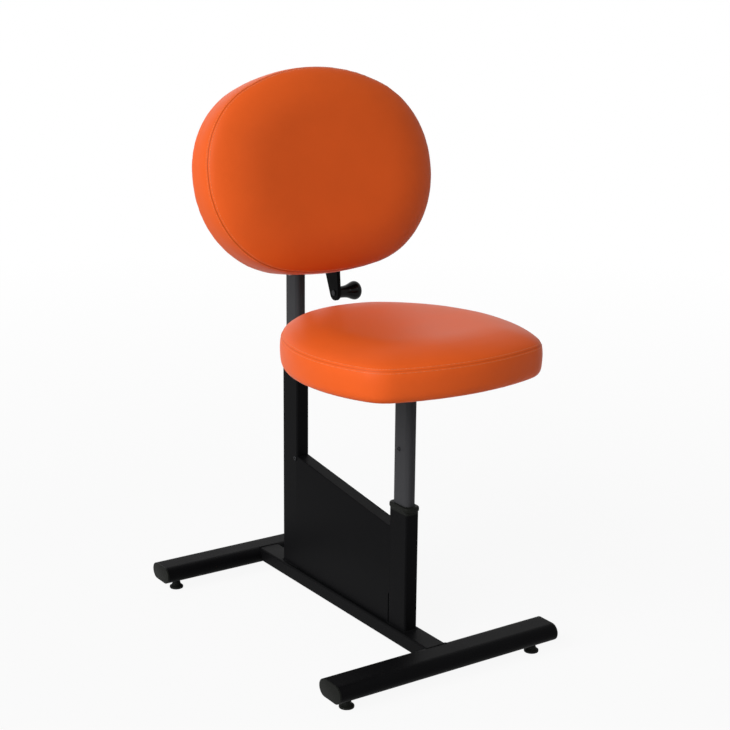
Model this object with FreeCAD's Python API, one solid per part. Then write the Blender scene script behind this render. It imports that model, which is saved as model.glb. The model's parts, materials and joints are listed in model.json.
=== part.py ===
import FreeCAD, Part
import os
from math import acos, atan2, cos, hypot, pi, radians, sin, sqrt
from FreeCAD import Matrix, Vector

# Client chair: a seat and a backrest on two telescopic posts, raised together by one hand crank.
# Millimetres. The sitter faces -Y and +X is the sitter's left. The origin is on the floor, under the
# middle of the whole chair.

# Fits
run_gap = 0.08  # radial play of a shaft or screw in its bearing
slide_gap = 0.25  # play on each side of a sliding tube in its collar
press_gap = 0.05  # play on each side of a block pressed into a tube
free_gap = 0.3  # between bodies that pass each other
bolt_gap = 0.25  # radial play of a bolt in its hole
soft_gap = 0.3  # between a board's edge and the cover drawn round it
tip_gap = 0.5  # between a bolt's tip and the end of its hole
drill_over = 1.0  # of a drilled hole past the metal

# Foot frame: two flat-oval bars joined by a rail
foot_height = 20.0
bar_length = 440.0
bar_width = 60.0
bar_height = 30.0
bar_wall = 2.0
bar_spacing = 573.0
rail_width = 40.0
rail_height = 25.0
rail_wall = 2.0
rail_corner = 3.0
rail_drop = 0.5  # rail top below the bar tops
cap_flange = 3.0
cap_plug = 12.0
cap_wall = 2.0

# Levelling feet
foot_inset = 32.0  # from the bar's end to the stem
foot_disc_diameter = 25.0
foot_disc_rim = 4.0
foot_edge = 1.0  # bevel of the disc's lower edge and of the neck's top
foot_shoulder = 1.5  # height of the slope above the rim
foot_shoulder_inset = 2.5
foot_flare = 5.0  # height above the rim where the flare meets the neck
foot_flare_spread = 1.5
foot_neck_diameter = 14.0
foot_body_height = 15.0
stem_diameter = 8.0
stem_reach = 11.0  # above the bar's underside
rivet_nut_diameter = 11.0
rivet_nut_flange_diameter = 15.0
rivet_nut_flange = 1.0
rivet_nut_length = 13.0

# Posts
post_depth = 50.0
post_width = 25.0
post_wall = 1.5
post_corner = 4.0
front_post_setback = 115.0  # behind the front bar
rear_post_advance = 118.0  # ahead of the rear bar
front_post_height = 205.0
rear_post_height = 420.5
slide_depth = 42.0
slide_width = 20.0
slide_wall = 1.5
slide_corner = 8.0
collar_skirt = 14.0
collar_neck = 4.0
collar_lip = 9.0
collar_overhang = 3.0
collar_corner = 11.0
collar_round = 3.0

# Boxed panel between the posts
panel_wall = 1.5
panel_rear_height = 214.5
panel_front_height = 172.5

# Lift: travel, screws and nuts
travel_down = 55.0
travel_up = 45.0
screw_diameter = 13.0
journal_diameter = 8.0
back_shank_diameter = 11.0
nut_height = 22.0
glide_height = 25.0
glide_floor = 2.0
foot_block_height = 12.0
foot_block_floor = 2.0
steady_block_height = 12.0
steady_above_panel = 1.0  # top of the rear steady block above the panel's top
front_steady_height = 10.0
lift_spare = 6.0  # room left below a glide at the lowest setting
engage_length = 40.0  # drive shaft left in the hollow screw at the highest setting
hex_across = 7.0
hex_gap = 0.2

# Mitre gears of the cross drive
mitre_radius = 8.5
mitre_face = 3.5
mitre_hub = 3.0
mitre_hub_radius = 6.0
tooth_play = 0.4
cross_bush_diameter = 12.0
cross_bush_flange_diameter = 16.0
cross_bush_flange = 2.0
cross_bush_length = 4.0

# Crank and its bevel pair
crank_height = 602.0  # above the floor at rest
crank_shaft_diameter = 12.0
crank_shaft_tail = 16.0  # from the post's middle to the free end
crank_arm_offset = 73.0
crank_arm_thickness = 7.0
crank_arm_round = 1.5
crank_length = 50.0
crank_lean = 14.0  # degrees ahead of hanging straight down
crank_hub_radius = 22.0
crank_end_radius = 14.0
crank_bush_diameter = 15.0
crank_bush_flange_diameter = 18.0
crank_bush_flange = 2.0
ring_diameter = 18.0
ring_thickness = 1.5
wheel_radius = 12.0
wheel_face = 2.25
wheel_hub_radius = 8.5
pinion_radius = 6.0
pinion_hub = 3.0
pinion_hub_radius = 5.5
pinion_bore = 5.0
drive_journal_diameter = 9.0
drive_block_height = 14.0
axle_diameter = 8.0
axle_head_diameter = 10.0
axle_head = 1.5

# Crank knob, turned to a mushroom form: distance from its foot and radius of each point
knob_outline = [
    (0, 10.6), (10.0, 10.6), (21.0, 12.1), (29.0, 15.1), (38.0, 16.9), (43.0, 14.6), (45.5, 7.0),
]
knob_length = knob_outline[-1][0]

# Back post fittings
back_tube_drop = 26.0  # top of the sliding tube below the backrest's middle
tube_cap = 3.0
tube_cap_plug = 10.0
bracket_wall = 4.0
bracket_half_width = 60.0
bracket_low = -120.0  # along the backrest, from its middle
bracket_high = -30.0
bracket_middle = (bracket_low + bracket_high) / 2
bracket_corner = 12.0
bracket_reach = 12.0  # of the cheeks behind the post's middle
cheek_inset = 10.0  # of each cheek from the plate's top and bottom edges
bracket_bolt_diameter = 8.0
bracket_bolt_spacing = 46.0
bolt_head_radius = 6.5
bolt_head = 5.0
board_bolt_diameter = 6.0
board_bolt_head_radius = 5.5
board_bolt_head = 3.5
board_bolt_bite = 8.0  # into the board
back_bolt_span = 92.0
back_bolt_rise = 56.0

# Seat post fittings
stop_screw_height = 362.5
stop_screw_offset = 3.5
stop_block_height = 12.0
stop_spare = 1.5
small_screw_diameter = 4.0
small_screw_head_radius = 4.0
small_screw_head = 2.0
small_screw_round = 1.2
small_screw_bite = 9.0  # behind the tube's outer face
panel_screw_offset = 19.0  # ahead of the rear post's middle
seat_plate_width = 180.0
seat_plate_depth = 160.0
seat_plate_wall = 5.0
seat_plate_corner = 14.0
seat_bolt_across = 140.0
seat_bolt_along = 120.0

# Seat cushion
seat_underside = 496.0
seat_thickness = 77.0
seat_seam_height = 52.0
seat_half_width = 200.0
seat_outline_shares = (1.325, (1.21, 0.585, 1.38), (0.865, 0.31, 2.125))
seat_advance = 11.0  # of the widest line ahead of the front post
seat_tuck = ((0, 10.0), (3.0, 5.5), (8.0, 2.4), (18.0, 0.3))  # height and inset, drawn in to the board
dust_cover = 1.5

# Backrest cushion
back_above_crank = 174.0  # its middle above the crank's axis
back_plane_advance = 35.0  # of its rear plane ahead of the rear post
back_tilt = 12.3  # degrees
back_thickness = 84.0
back_seam_height = 59.0
back_half_width = 225.0
back_outline_shares = (0.822, (0.782, 0.69, 1.39), (0.768, 0.72, 2.245))
back_tuck = ((0, 7.0), (2.5, 3.4), (7.0, 1.0), (16.0, 0.1))  # height and inset, drawn in to the board
rear_panel = 3.0

# Upholstery shared by both cushions
board_thickness = 12.0
board_inset = 20.0
seam_inset = 2.0
flat_share = 0.56  # size of the crown's flat middle against the seam's outline
roll_start = 20.0  # degrees that the roll leans in where it leaves the seam
roll_steps = 9  # outlines between the seam and the flat

# Heights
bar_bottom = foot_height
bar_middle = bar_bottom + bar_height / 2
rail_top = bar_bottom + bar_height - rail_drop
front_post_top = rail_top + front_post_height
rear_post_top = rail_top + rear_post_height
foot_block_top = rail_top + foot_block_height
cross_height = foot_block_top + free_gap + mitre_hub + mitre_radius
front_steady_low = cross_height + mitre_radius + free_gap
front_steady_top = front_steady_low + front_steady_height
seat_tube_bottom = front_steady_top + lift_spare + travel_down + glide_floor
seat_tube_top = seat_underside - seat_plate_wall
stop_block_low = stop_screw_height - stop_block_height / 2
seat_screw_top = stop_block_low - travel_down - stop_spare
rear_steady_top = rail_top + panel_rear_height + steady_above_panel
rear_steady_low = rear_steady_top - steady_block_height
back_tube_bottom = rear_steady_top + lift_spare + travel_down + glide_floor
back_screw_top = back_tube_bottom + nut_height + travel_up + lift_spare
drive_shaft_bottom = back_screw_top - travel_up - engage_length
hex_bore_bottom = drive_shaft_bottom - travel_down - lift_spare
back_middle_height = crank_height + back_above_crank
back_tube_top = back_middle_height - back_tube_drop
pinion_low = crank_height - wheel_radius
pinion_face = wheel_face * wheel_radius / pinion_radius
drive_block_top = pinion_low - pinion_hub - free_gap
drive_block_low = drive_block_top - drive_block_height

# Places along Y, with the chair's full depth centred on the origin
seat_front_reach = seat_outline_shares[2][0] * seat_half_width
seat_front_from_rear_bar = bar_spacing - front_post_setback + seat_advance + seat_front_reach
rear_bar_y = (seat_front_from_rear_bar - bar_width / 2) / 2
front_bar_y = rear_bar_y - bar_spacing
front_post_y = front_bar_y + front_post_setback
rear_post_y = rear_bar_y - rear_post_advance
seat_y = front_post_y - seat_advance
back_y = rear_post_y - back_plane_advance

X, Y, Z = Vector(1, 0, 0), Vector(0, 1, 0), Vector(0, 0, 1)
hair = 0.01  # tolerance when edges are picked


# Shapes shared by many pieces

def block(x0, x1, y0, y1, z0, z1):
    return Part.makeBox(x1 - x0, y1 - y0, z1 - z0, Vector(x0, y0, z0))


def rod(radius, length, start, axis):
    return Part.makeCylinder(radius, length, start, axis)


def slope_along(edge, axis):
    """1 for an edge that starts along the axis, 0 for one that starts square to it."""
    return abs(edge.tangentAt(edge.FirstParameter).dot(axis))


def edges_along(solid, axis):
    return [edge for edge in solid.Edges if slope_along(edge, axis) > 1 - hair]


def prism(points, length):
    """Prism along +X of a closed outline."""
    return Part.Face(Part.makePolygon(points + points[:1])).extrude(X * length)


def post(width, depth, corner, middle_y, z0, z1):
    """Upright prism of a rounded rectangle, centred on X = 0."""
    solid = block(-width / 2, width / 2, middle_y - depth / 2, middle_y + depth / 2, z0, z1)
    return solid.makeFillet(corner, edges_along(solid, Z))


def post_tube(width, depth, corner, wall, middle_y, z0, z1):
    hollow = post(width - 2 * wall, depth - 2 * wall, corner - wall, middle_y, z0, z1)
    return post(width, depth, corner, middle_y, z0, z1).cut(hollow)


def post_filler(play, middle_y, z0, z1):
    """Block that fills an outer tube's hollow, less some play on each side."""
    inside = post_wall + play
    return post(post_width - 2 * inside, post_depth - 2 * inside, post_corner - inside, middle_y, z0, z1)


def slide_filler(play, middle_y, z0, z1):
    """Block that fills a sliding tube's hollow, less some play on each side."""
    inside = slide_wall + play
    return post(slide_width - 2 * inside, slide_depth - 2 * inside, slide_corner - inside, middle_y, z0, z1)


def slide_outside(play, middle_y, z0, z1):
    """A sliding tube's outside, grown by some play on each side."""
    return post(slide_width + 2 * play, slide_depth + 2 * play, slide_corner + play, middle_y, z0, z1)


def hexagon(across, middle_y, z0, z1):
    corner = across / sqrt(3)
    turns = [side * pi / 3 for side in range(7)]
    points = [Vector(corner * cos(turn), middle_y + corner * sin(turn), z0) for turn in turns]
    return Part.Face(Part.makePolygon(points)).extrude(Z * (z1 - z0))


def save(name, *solids):
    shape = solids[0] if len(solids) == 1 else Part.makeCompound(list(solids))
    for solid in solids:
        if not solid.isValid() or len(solid.Solids) != 1:
            raise ValueError(name + " is not one sound solid")
    shape.exportStep("parts/" + name + ".step")


def turned(profile, place, axis):
    """Solid of revolution about an axis through place; profile holds (along the axis, radius) pairs."""
    points = [Vector(radius, 0, along) for along, radius in profile]
    points = [Vector(0, 0, profile[0][0])] + points + [Vector(0, 0, profile[-1][0])]
    face = Part.Face(Part.makePolygon(points + points[:1]))
    solid = face.revolve(Vector(0, 0, 0), Z, 360)
    solid.Placement = FreeCAD.Placement(place, FreeCAD.Rotation(Z, axis))
    return solid


# Foot frame

def flat_oval(inset, middle_y, x0, x1):
    """Prism along X of the bar's flat-oval section, drawn in by inset."""
    half = bar_width / 2 - bar_height / 2
    radius = bar_height / 2 - inset
    low, high = bar_middle - radius, bar_middle + radius
    front, rear = middle_y - half, middle_y + half
    edges = [
        Part.LineSegment(Vector(x0, front, low), Vector(x0, rear, low)),
        Part.Arc(Vector(x0, rear, low), Vector(x0, rear + radius, bar_middle), Vector(x0, rear, high)),
        Part.LineSegment(Vector(x0, rear, high), Vector(x0, front, high)),
        Part.Arc(Vector(x0, front, high), Vector(x0, front - radius, bar_middle), Vector(x0, front, low)),
    ]
    wire = Part.Wire([edge.toShape() for edge in edges])
    return Part.Face(wire).extrude(X * (x1 - x0))


bar_end = bar_length / 2 - cap_flange
stem_x = bar_length / 2 - foot_inset


def foot_bar(middle_y):
    """Tube with a hole underneath at each end for a rivet nut."""
    bar = flat_oval(0, middle_y, -bar_end, bar_end).cut(flat_oval(bar_wall, middle_y, -bar_end, bar_end))
    for x in (-stem_x, stem_x):
        start = Vector(x, middle_y, bar_bottom)
        bar = bar.cut(rod(rivet_nut_diameter / 2, bar_wall + drill_over, start, Z))
    return bar


def end_cap(side, middle_y):
    """Flange as large as the bar's outside, with a hollow plug that goes into the bar."""
    outer = side * bar_length / 2
    tip = side * (bar_end - cap_plug)
    inside = bar_wall + press_gap
    flange = flat_oval(0, middle_y, side * bar_end, outer)
    plug = flat_oval(inside, middle_y, side * bar_end, tip)
    hollow = flat_oval(inside + cap_wall, middle_y, side * bar_end, tip)
    return flange.fuse(plug.cut(hollow)).removeSplitter()


def rail_bar(inset):
    """Prism of the rail's section, drawn in by inset, from one bar's middle to the other's."""
    half = rail_width / 2 - inset
    low, high = rail_top - rail_height + inset, rail_top - inset
    solid = block(-half, half, front_bar_y, rear_bar_y, low, high)
    return solid.makeFillet(rail_corner - inset, edges_along(solid, Y))


def rail():
    """Tube notched at both ends to the round sides of the bars."""
    tube = rail_bar(0).cut(rail_bar(rail_wall))
    for middle_y in (front_bar_y, rear_bar_y):
        tube = tube.cut(flat_oval(0, middle_y, -rail_width, rail_width))
    return tube


def rivet_nut(x, middle_y):
    low = Vector(x, middle_y, bar_bottom - rivet_nut_flange)
    flange = rod(rivet_nut_flange_diameter / 2, rivet_nut_flange, low, Z)
    body = rod(rivet_nut_diameter / 2, rivet_nut_length, Vector(x, middle_y, bar_bottom), Z)
    bore = rod(stem_diameter / 2 + run_gap, rivet_nut_flange + rivet_nut_length, low, Z)
    return flange.fuse(body).cut(bore).removeSplitter()


def levelling_foot(x, middle_y):
    """Glide disc with a flared body and a threaded stem, the thread drawn as a plain cylinder."""
    disc = foot_disc_diameter / 2
    neck = foot_neck_diameter / 2
    stem = stem_diameter / 2
    profile = [
        (0, disc - foot_edge),
        (foot_edge, disc),
        (foot_disc_rim, disc),
        (foot_disc_rim + foot_shoulder, disc - foot_shoulder_inset),
        (foot_disc_rim + foot_flare, neck + foot_flare_spread),
        (foot_body_height - foot_edge, neck),
        (foot_body_height, neck - foot_edge),
        (foot_body_height, stem),
        (bar_bottom + stem_reach, stem),
    ]
    return turned(profile, Vector(x, middle_y, 0), Z)


foot_places = {
    "front_right": (-stem_x, front_bar_y), "front_left": (stem_x, front_bar_y),
    "rear_right": (-stem_x, rear_bar_y), "rear_left": (stem_x, rear_bar_y),
}


def build_foot_frame():
    save("front_foot_bar", foot_bar(front_bar_y))
    save("rear_foot_bar", foot_bar(rear_bar_y))
    save("base_rail", rail())
    caps = [end_cap(side, middle_y) for middle_y in (front_bar_y, rear_bar_y) for side in (-1, 1)]
    save("foot_bar_end_caps", *caps)
    save("levelling_rivet_nuts", *[rivet_nut(x, y) for x, y in foot_places.values()])
    for name, (x, y) in foot_places.items():
        save("levelling_foot_" + name, levelling_foot(x, y))


# Posts, panel and guides

def cross_hole(start_y, length):
    return rod(cross_bush_diameter / 2, length, Vector(0, start_y, cross_height), Y)


panel_front_y = front_post_y + post_depth / 2
panel_rear_y = rear_post_y - post_depth / 2


def small_screw(face_x, y, z):
    """Button-headed screw driven along +X through a tube's -X face."""
    outer_x = face_x - small_screw_head
    head = rod(small_screw_head_radius, small_screw_head, Vector(outer_x, y, z), X)
    rim = [edge for edge in head.Edges if abs(edge.CenterOfMass.x - outer_x) < hair]
    shank = rod(small_screw_diameter / 2, small_screw_bite, Vector(face_x, y, z), X)
    return head.makeFillet(small_screw_round, rim).fuse(shank).removeSplitter()


def screw_hole(face_x, y, z):
    return rod(small_screw_diameter / 2 + press_gap, small_screw_bite + drill_over, Vector(face_x, y, z), X)


panel_screw_height = rear_steady_low + steady_block_height / 2
panel_screw_place = (-post_width / 2, rear_post_y - panel_screw_offset, panel_screw_height)
stop_screw_place = (-slide_width / 2, front_post_y + stop_screw_offset, stop_screw_height)


def panel_wedge(inset):
    """The panel's side view as a prism, drawn in by inset at the sides and under the sloped top."""
    depth = panel_rear_y - panel_front_y
    down = inset * hypot(panel_rear_height - panel_front_height, depth) / depth
    half = post_width / 2 - inset
    corners = [
        (panel_front_y, rail_top),
        (panel_rear_y, rail_top),
        (panel_rear_y, rail_top + panel_rear_height - down),
        (panel_front_y, rail_top + panel_front_height - down),
    ]
    return prism([Vector(-half, y, z) for y, z in corners], 2 * half)


def panel():
    """Folded sheet with two sides and a sloped top, closed by the posts and the rail."""
    return panel_wedge(0).cut(panel_wedge(panel_wall))


def guide_collar(middle_y, post_top):
    """Bush in a tube's mouth, with a neck as large as the tube and a rounded lip above it."""
    neck_top = post_top + collar_neck
    skirt = post_filler(press_gap, middle_y, post_top - collar_skirt, post_top)
    neck = post(post_width, post_depth, post_corner, middle_y, post_top, neck_top)
    lip = post(post_width + 2 * collar_overhang, post_depth + 2 * collar_overhang,
               collar_corner, middle_y, neck_top, neck_top + collar_lip)
    level = [edge for edge in lip.Edges if edge.BoundBox.ZLength < hair]
    lip = lip.makeFillet(collar_round, level)
    bore = slide_outside(slide_gap, middle_y, post_top - collar_skirt, neck_top + collar_lip)
    return skirt.fuse(neck).fuse(lip).cut(bore).removeSplitter()


def foot_block(middle_y):
    """Bearing at the bottom of a post, with a blind bore for the screw's journal."""
    filled = post_filler(press_gap, middle_y, rail_top, foot_block_top)
    floor = Vector(0, middle_y, rail_top + foot_block_floor)
    return filled.cut(rod(journal_diameter / 2 + run_gap, foot_block_height, floor, Z))


def steady_block(middle_y, z0, z1, shaft_diameter):
    bore = rod(shaft_diameter / 2 + run_gap, z1 - z0, Vector(0, middle_y, z0), Z)
    return post_filler(press_gap, middle_y, z0, z1).cut(bore)


def cross_bush(post_y, inward):
    """Flanged bush in a post's wall; inward is the Y direction from the panel into the post."""
    face = post_y - inward * post_depth / 2
    axis = Vector(0, inward, 0)
    flange_start = Vector(0, face - inward * cross_bush_flange, cross_height)
    flange = rod(cross_bush_flange_diameter / 2, cross_bush_flange, flange_start, axis)
    body = rod(cross_bush_diameter / 2, cross_bush_length, Vector(0, face, cross_height), axis)
    bore = rod(journal_diameter / 2 + run_gap, cross_bush_flange + cross_bush_length, flange_start, axis)
    return flange.fuse(body).cut(bore).removeSplitter()


def build_posts():
    front = post_tube(post_width, post_depth, post_corner, post_wall, front_post_y, rail_top, front_post_top)
    front = front.cut(cross_hole(front_post_y, post_depth))
    rear = post_tube(post_width, post_depth, post_corner, post_wall, rear_post_y, rail_top, rear_post_top)
    rear = rear.cut(cross_hole(rear_post_y - post_depth, post_depth)).cut(screw_hole(*panel_screw_place))
    save("front_outer_tube", front)
    save("rear_outer_tube", rear)
    save("boxed_panel", panel())
    save("front_guide_collar", guide_collar(front_post_y, front_post_top))
    save("rear_guide_collar", guide_collar(rear_post_y, rear_post_top))
    save("screw_foot_bearings", foot_block(front_post_y), foot_block(rear_post_y))
    front_steady = steady_block(front_post_y, front_steady_low, front_steady_top, journal_diameter)
    save("seat_screw_steady", front_steady)
    rear_steady = steady_block(rear_post_y, rear_steady_low, rear_steady_top, back_shank_diameter)
    save("back_screw_steady", rear_steady.cut(screw_hole(*panel_screw_place)))
    save("steady_screw", small_screw(*panel_screw_place))
    save("cross_shaft_bushes", cross_bush(front_post_y, -1), cross_bush(rear_post_y, 1))


# Cross drive and lift screws

def mitre_gear(apex, axis):
    """Gear blank on its pitch cone less the tooth play; axis points from the apex to the wide end."""
    small_end = mitre_radius - mitre_face
    back = mitre_radius + mitre_hub
    profile = [(small_end, small_end - tooth_play), (mitre_radius, mitre_radius - tooth_play),
               (mitre_radius, mitre_hub_radius), (back, mitre_hub_radius)]
    bore = rod(journal_diameter / 2, back, apex, axis)
    return turned(profile, apex, axis).cut(bore)


def build_cross_drive():
    front_apex = Vector(0, front_post_y, cross_height)
    rear_apex = Vector(0, rear_post_y, cross_height)
    start_y = front_post_y + mitre_radius - mitre_face
    end_y = rear_post_y - mitre_radius + mitre_face
    save("cross_shaft", rod(journal_diameter / 2, end_y - start_y, Vector(0, start_y, cross_height), Y))
    save("cross_shaft_gears", mitre_gear(front_apex, Y), mitre_gear(rear_apex, -Y))


journal_low = rail_top + foot_block_floor + free_gap


def lift_screw(middle_y, steps):
    """Stepped shaft on a post's axis; steps holds (top height, diameter) pairs from the bottom up."""
    profile = []
    low = journal_low
    for top, diameter in steps:
        profile += [(low, diameter / 2), (top, diameter / 2)]
        low = top
    return turned(profile, Vector(0, middle_y, 0), Z)


def build_lift_screws():
    seat_steps = [(front_steady_top + free_gap, journal_diameter), (seat_screw_top, screw_diameter)]
    save("seat_lift_screw", lift_screw(front_post_y, seat_steps))
    save("seat_screw_gear", mitre_gear(Vector(0, front_post_y, cross_height), -Z))
    back_steps = [
        (front_steady_low, journal_diameter),
        (rear_steady_top + free_gap, back_shank_diameter),
        (back_screw_top, screw_diameter),
    ]
    hollow = hexagon(hex_across + 2 * hex_gap, rear_post_y, hex_bore_bottom, back_screw_top)
    save("back_lift_screw", lift_screw(rear_post_y, back_steps).cut(hollow))
    save("back_screw_gear", mitre_gear(Vector(0, rear_post_y, cross_height), -Z))


def lift_nut(middle_y, tube_bottom):
    bore = rod(screw_diameter / 2 + run_gap, nut_height, Vector(0, middle_y, tube_bottom), Z)
    return slide_filler(press_gap, middle_y, tube_bottom, tube_bottom + nut_height).cut(bore)


def lower_glide(middle_y, tube_bottom):
    """Cup round a sliding tube's lower end that runs in the outer tube."""
    cup = post_filler(slide_gap, middle_y, tube_bottom - glide_floor, tube_bottom + glide_height)
    cup = cup.cut(slide_outside(0, middle_y, tube_bottom, tube_bottom + glide_height))
    hole = rod(screw_diameter / 2 + free_gap, glide_floor, Vector(0, middle_y, tube_bottom - glide_floor), Z)
    return cup.cut(hole)


# Crank and drive shaft

crank_centre = Vector(0, rear_post_y, crank_height)
lean = radians(crank_lean)
axle_y = rear_post_y - crank_length * sin(lean)
axle_z = crank_height - crank_length * cos(lean)
arm_inner = crank_arm_offset
arm_outer = crank_arm_offset + crank_arm_thickness


def crank_arm():
    """Tapered arm: the outline is two arcs joined by their common tangents."""
    swing = acos((crank_hub_radius - crank_end_radius) / crank_length)
    hub_centre = Vector(arm_inner, rear_post_y, crank_height)
    end_centre = Vector(arm_inner, axle_y, axle_z)
    down = atan2(axle_z - crank_height, axle_y - rear_post_y)

    def arc_points(centre, radius, turns):
        return [centre + Vector(0, cos(down + turn), sin(down + turn)) * radius for turn in turns]

    hub = arc_points(hub_centre, crank_hub_radius, (swing, pi, 2 * pi - swing))
    end = arc_points(end_centre, crank_end_radius, (-swing, 0, swing))
    edges = [
        Part.Arc(*hub),
        Part.LineSegment(hub[2], end[0]),
        Part.Arc(*end),
        Part.LineSegment(end[2], hub[0]),
    ]
    wire = Part.Wire([edge.toShape() for edge in edges])
    arm = Part.Face(wire).extrude(X * crank_arm_thickness)
    rims = [edge for edge in arm.Edges if slope_along(edge, X) < hair]
    arm = arm.makeFillet(crank_arm_round, rims)
    shaft_hole = rod(crank_shaft_diameter / 2, crank_arm_thickness, hub_centre, X)
    axle_hole = rod(axle_diameter / 2, crank_arm_thickness, end_centre, X)
    return arm.cut(shaft_hole).cut(axle_hole)


def knob_axle():
    """Riveted pin: a flat head on the arm's inner face and a head inside the knob's tip."""
    start = Vector(arm_inner, axle_y, axle_z)
    pin = rod(axle_diameter / 2, crank_arm_thickness + knob_length - axle_head, start, X)
    head = rod(axle_head_diameter / 2, axle_head, Vector(arm_inner - axle_head, axle_y, axle_z), X)
    return pin.fuse(head).removeSplitter()


def crank_knob():
    """Mushroom knob: a neck, a waist and a round bell, hollow for the axle."""
    curve = Part.BSplineCurve()
    curve.interpolate([Vector(radius, 0, along) for along, radius in knob_outline])
    foot, tip = Vector(0, 0, 0), Vector(0, 0, knob_length)
    edges = [
        Part.LineSegment(foot, curve.StartPoint),
        curve,
        Part.LineSegment(curve.EndPoint, tip),
        Part.LineSegment(tip, foot),
    ]
    wire = Part.Wire([edge.toShape() for edge in edges])
    knob = Part.Face(wire).revolve(foot, Z, 360)
    start = Vector(arm_outer + free_gap, axle_y, axle_z)
    knob.Placement = FreeCAD.Placement(start, FreeCAD.Rotation(Z, X))
    return knob.cut(rod(axle_diameter / 2 + run_gap, knob_length - axle_head, start, X))


def crank_bush(side):
    wall_inside = slide_width / 2 - slide_wall
    axis = Vector(side, 0, 0)
    body_start = crank_centre + axis * wall_inside
    face = crank_centre + axis * (slide_width / 2)
    body = rod(crank_bush_diameter / 2, slide_wall, body_start, axis)
    flange = rod(crank_bush_flange_diameter / 2, crank_bush_flange, face, axis)
    bore = rod(crank_shaft_diameter / 2 + run_gap, slide_wall + crank_bush_flange, body_start, axis)
    return body.fuse(flange).cut(bore).removeSplitter()


def bevel_wheel():
    """Wheel blank on the crank shaft: its pitch cone opens towards +X."""
    wide = pinion_radius
    small = wide - wheel_face
    slope = wheel_radius / pinion_radius
    back = slide_width / 2 - slide_wall - free_gap
    profile = [(small, small * slope - tooth_play), (wide, wheel_radius - tooth_play),
               (wide, wheel_hub_radius), (back, wheel_hub_radius)]
    bore = rod(crank_shaft_diameter / 2, back, crank_centre, X)
    return turned(profile, crank_centre, X).cut(bore)


def bevel_pinion():
    """Pinion blank on top of the drive shaft: its pitch cone opens downwards from the crank's axis."""
    slope = pinion_radius / wheel_radius
    small = wheel_radius - pinion_face
    profile = [(small, small * slope - tooth_play), (wheel_radius, pinion_radius - tooth_play),
               (wheel_radius, pinion_hub_radius), (wheel_radius + pinion_hub, pinion_hub_radius)]
    bore = rod(pinion_bore / 2, wheel_radius + pinion_hub, crank_centre, -Z)
    return turned(profile, crank_centre, -Z).cut(bore)


def drive_shaft():
    """Hexagonal shaft with a round journal and a thin upper end for the pinion."""
    shoulder = pinion_low - pinion_hub
    journal_bottom = drive_block_low - lift_spare
    tip = crank_height - wheel_radius + pinion_face
    hexed = hexagon(hex_across, rear_post_y, drive_shaft_bottom, journal_bottom)
    journal_start = Vector(0, rear_post_y, journal_bottom)
    journal = rod(drive_journal_diameter / 2, shoulder - journal_bottom, journal_start, Z)
    end = rod(pinion_bore / 2, tip - shoulder, Vector(0, rear_post_y, shoulder), Z)
    return hexed.fuse(journal).fuse(end).removeSplitter()


def build_crank():
    shaft_start = crank_centre - X * crank_shaft_tail
    save("crank_shaft", rod(crank_shaft_diameter / 2, crank_shaft_tail + arm_outer, shaft_start, X))
    ring_start = crank_centre - X * (slide_width / 2 + crank_bush_flange + free_gap + ring_thickness)
    ring = rod(ring_diameter / 2, ring_thickness, ring_start, X)
    save("crank_retaining_ring", ring.cut(rod(crank_shaft_diameter / 2, ring_thickness, ring_start, X)))
    save("crank_bevel_wheel", bevel_wheel())
    save("crank_arm", crank_arm())
    save("crank_knob_axle", knob_axle())
    save("crank_knob", crank_knob())
    save("drive_shaft", drive_shaft())
    save("drive_pinion", bevel_pinion())


# Upholstery

def circles_meet(first, first_radius, second, second_radius):
    """Of the two points where circles meet, the one further out along X."""
    across = second - first
    gap = across.Length
    along = (first_radius ** 2 - second_radius ** 2 + gap ** 2) / (2 * gap)
    height = sqrt(first_radius ** 2 - along ** 2)
    foot = first + across * (along / gap)
    sideways = Vector(-across.y, across.x, 0) * (height / gap)
    return max(foot + sideways, foot - sideways, key=lambda point: point.x)


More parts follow.
